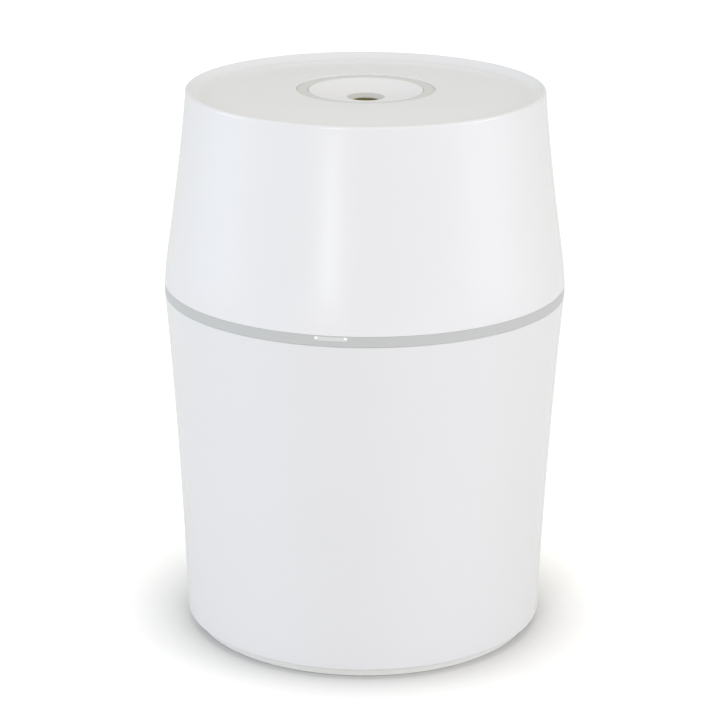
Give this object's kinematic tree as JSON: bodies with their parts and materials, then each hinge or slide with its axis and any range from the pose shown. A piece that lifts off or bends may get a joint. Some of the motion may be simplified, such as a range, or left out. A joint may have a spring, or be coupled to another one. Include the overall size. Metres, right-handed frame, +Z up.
{
  "type": "essential oil diffuser",
  "caption": "Barrel-shaped white tabletop oil diffuser with a lift-off domed cover, central mist nozzle, silver waist ring and a small front status light.",
  "frame": {"origin": "centre of the footprint, on the surface that the rubber pads stand on", "axes": "+Z up along the body's axis, -Y towards the front, where the status light is, +X to the right seen from the front"},
  "size_m": [0.092, 0.092, 0.1271],
  "materials": {
    "shell": "satin white moulded ABS",
    "chassis_white": "plain off-white moulded ABS",
    "trim": "fine satin silver-grey paint",
    "lens": "clear light pipe, frosted face",
    "base_grey": "matt light grey moulded ABS",
    "foot_rubber": "soft dark grey",
    "gasket": "dark olive silicone",
    "seal": "pale silicone",
    "bottle_glass": "amber, smooth",
    "wick_fibre": "pressed cotton",
    "steel": "nickel plated",
    "brass": "bright",
    "ceramic": "fired, unglazed",
    "cell_sleeve": "plain printed sleeve, no lettering",
    "board_green": "solder mask",
    "dark_plastic": "fine matt",
    "red_wire": "insulation",
    "black_wire": "insulation"
  },
  "bodies": {
    "base": {"lower_housing": "shell", "trim_ring": "trim", "status_lens": "lens", "chassis": "chassis_white", "contact_leaf_low": "brass", "contact_leaf_high": "brass", "battery_cradle": "dark_plastic", "cell_left": "cell_sleeve", "cell_middle": "cell_sleeve", "cell_right": "cell_sleeve", "cradle_contact_left": "steel", "cradle_contact_middle": "steel", "cradle_contact_right": "steel", "cradle_spring": "steel", "main_board": "board_green", "controller_chip": "dark_plastic", "drive_coil": "dark_plastic", "filter_capacitor": "cell_sleeve", "status_led": "lens", "lead_socket": "chassis_white", "lead_red": "red_wire", "lead_black": "black_wire", "slide_switch": "dark_plastic", "board_screw_left": "steel", "board_screw_right": "steel", "base_plate": "base_grey", "foot_pad_front": "foot_rubber", "foot_pad_right": "foot_rubber", "foot_pad_rear_right": "foot_rubber", "foot_pad_rear_left": "foot_rubber", "foot_pad_left": "foot_rubber", "base_screw_1": "steel", "base_screw_2": "steel", "base_screw_3": "steel", "base_screw_4": "steel"},
    "cover": {"top_cover": "shell", "nozzle_dish": "shell", "nozzle_gasket": "gasket"},
    "cartridge": {"oil_bottle": "bottle_glass", "wick_plug": "seal", "wick": "wick_fibre", "atomizer_base": "chassis_white", "contact_band_low": "brass", "contact_band_high": "brass", "seal_ring_low": "seal", "mesh_plate": "brass", "piezo_ring": "ceramic", "seal_ring_high": "seal", "atomizer_cap": "chassis_white"},
    "battery_door": {"battery_door": "base_grey", "door_contact_pair": "steel", "door_contact_single": "steel", "door_spring_left": "steel", "door_spring_right": "steel"},
    "mode_switch": {"mode_slider": "dark_plastic", "switch_lever": "steel"}
  },
  "joints": [
    {"name": "cover_lift", "type": "slide", "parent": "base", "child": "cover", "axis": [0, 0, 1], "range_m": [0, 0.05]},
    {"name": "cartridge_lift", "type": "slide", "parent": "base", "child": "cartridge", "axis": [0, 0, 1], "range_m": [0, 0.025]},
    {"name": "battery_door_hinge", "type": "hinge", "parent": "base", "child": "battery_door", "pos_m": [0, 0.0098, 0.0006], "axis": [-1, 0, 0], "range_deg": [0, 75]},
    {"name": "mode_slide", "type": "slide", "parent": "base", "child": "mode_switch", "axis": [1, 0, 0], "range_m": [0, 0.006]}
  ],
  "couplings": [
    {"joint": "cartridge_lift", "follows": "cover_lift", "ratio": 0.5}
  ]
}
